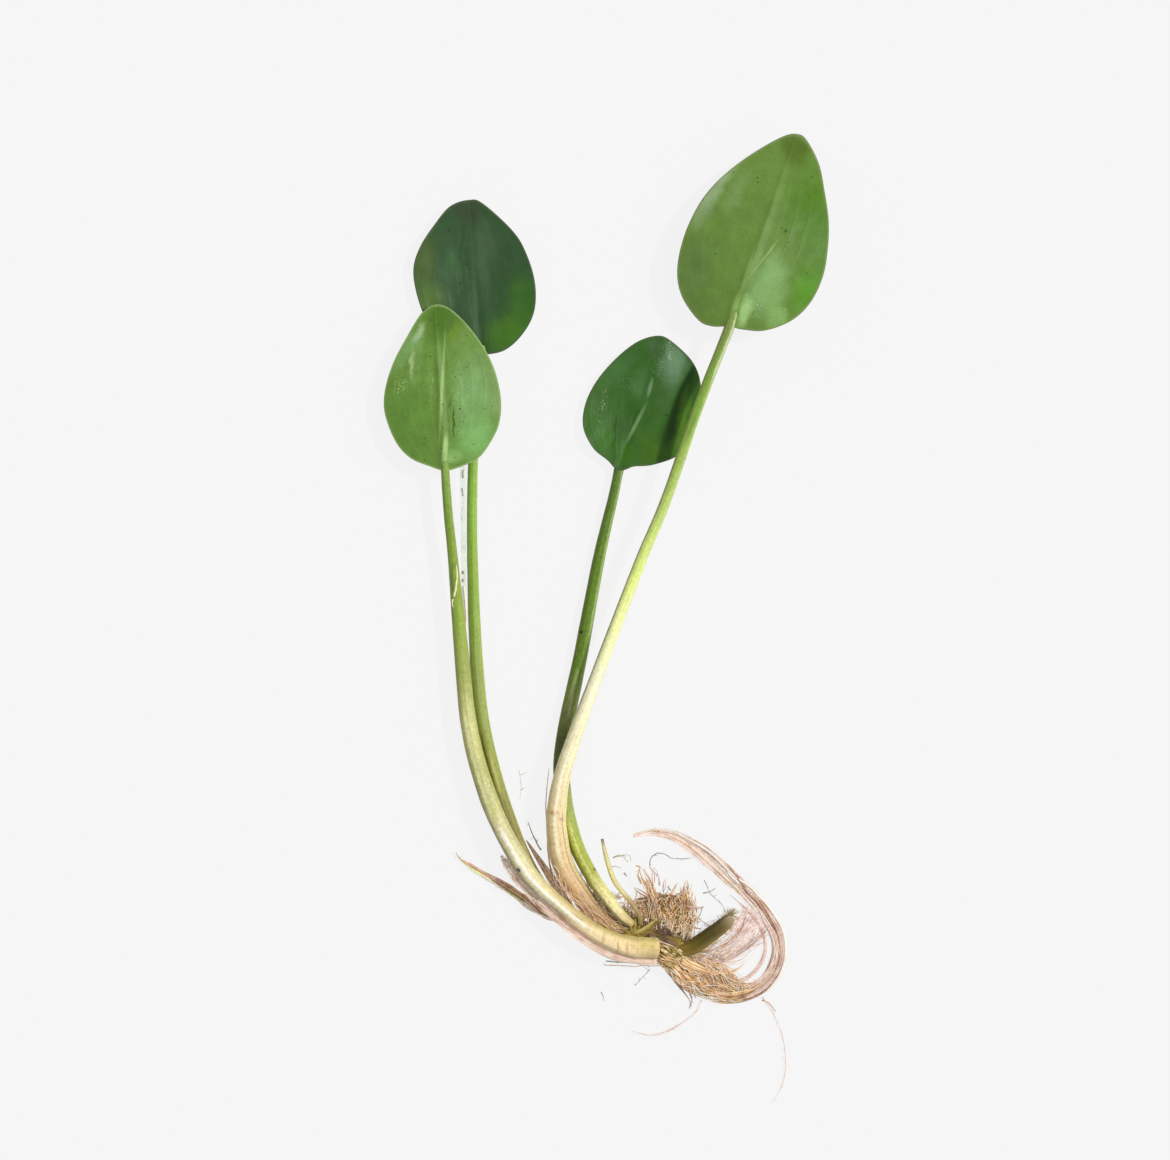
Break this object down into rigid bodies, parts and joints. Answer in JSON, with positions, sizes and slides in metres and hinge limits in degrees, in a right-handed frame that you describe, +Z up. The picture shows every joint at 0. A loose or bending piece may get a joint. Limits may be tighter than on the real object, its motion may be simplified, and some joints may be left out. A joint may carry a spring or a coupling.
{
  "type": "american frogbit plant",
  "caption": "Uprooted american frogbit lying flat: long-stalked heart-shaped leaves on a short crown, with a runner stub, withered sheaths and a looped bunch of roots.",
  "frame": {"origin": "on the surface that the plant lies on, under the middle of its outer box", "axes": "+Y from the roots to the leaf tips, +X towards the taller leaf, +Z up, away from the surface"},
  "size_m": [0.1335, 0.2912, 0.0145],
  "materials": {
    "blade_underside": "satin leaf underside, pale green with a lighter midrib",
    "blade_face": "glossy dark green leaf face",
    "petiole": "smooth ribbed stalk, green fading to cream at its base",
    "crown": "rough olive and tan",
    "runner": "downy dark olive",
    "sheath": "papery brown",
    "root": "fibrous orange brown"
  },
  "bodies": {
    "root": {"crown": "crown", "petiole_left_front": "petiole", "petiole_left_back": "petiole", "petiole_right_front": "petiole", "petiole_right_back": "petiole", "blade_left_front": "blade_underside", "blade_left_back": "blade_face", "blade_right_front": "blade_underside", "blade_right_back": "blade_face", "stolon_stub": "runner", "young_shoot": "petiole", "withered_petiole": "sheath", "sheath_left": "sheath", "sheath_middle": "sheath", "root_tuft": "root", "root_1": "root", "root_2": "root", "root_3": "root", "root_4": "root", "root_5": "root", "root_6": "root", "root_7": "root", "root_8": "root", "root_stray_left": "root", "root_stray_right": "root"}
  },
  "joints": []
}
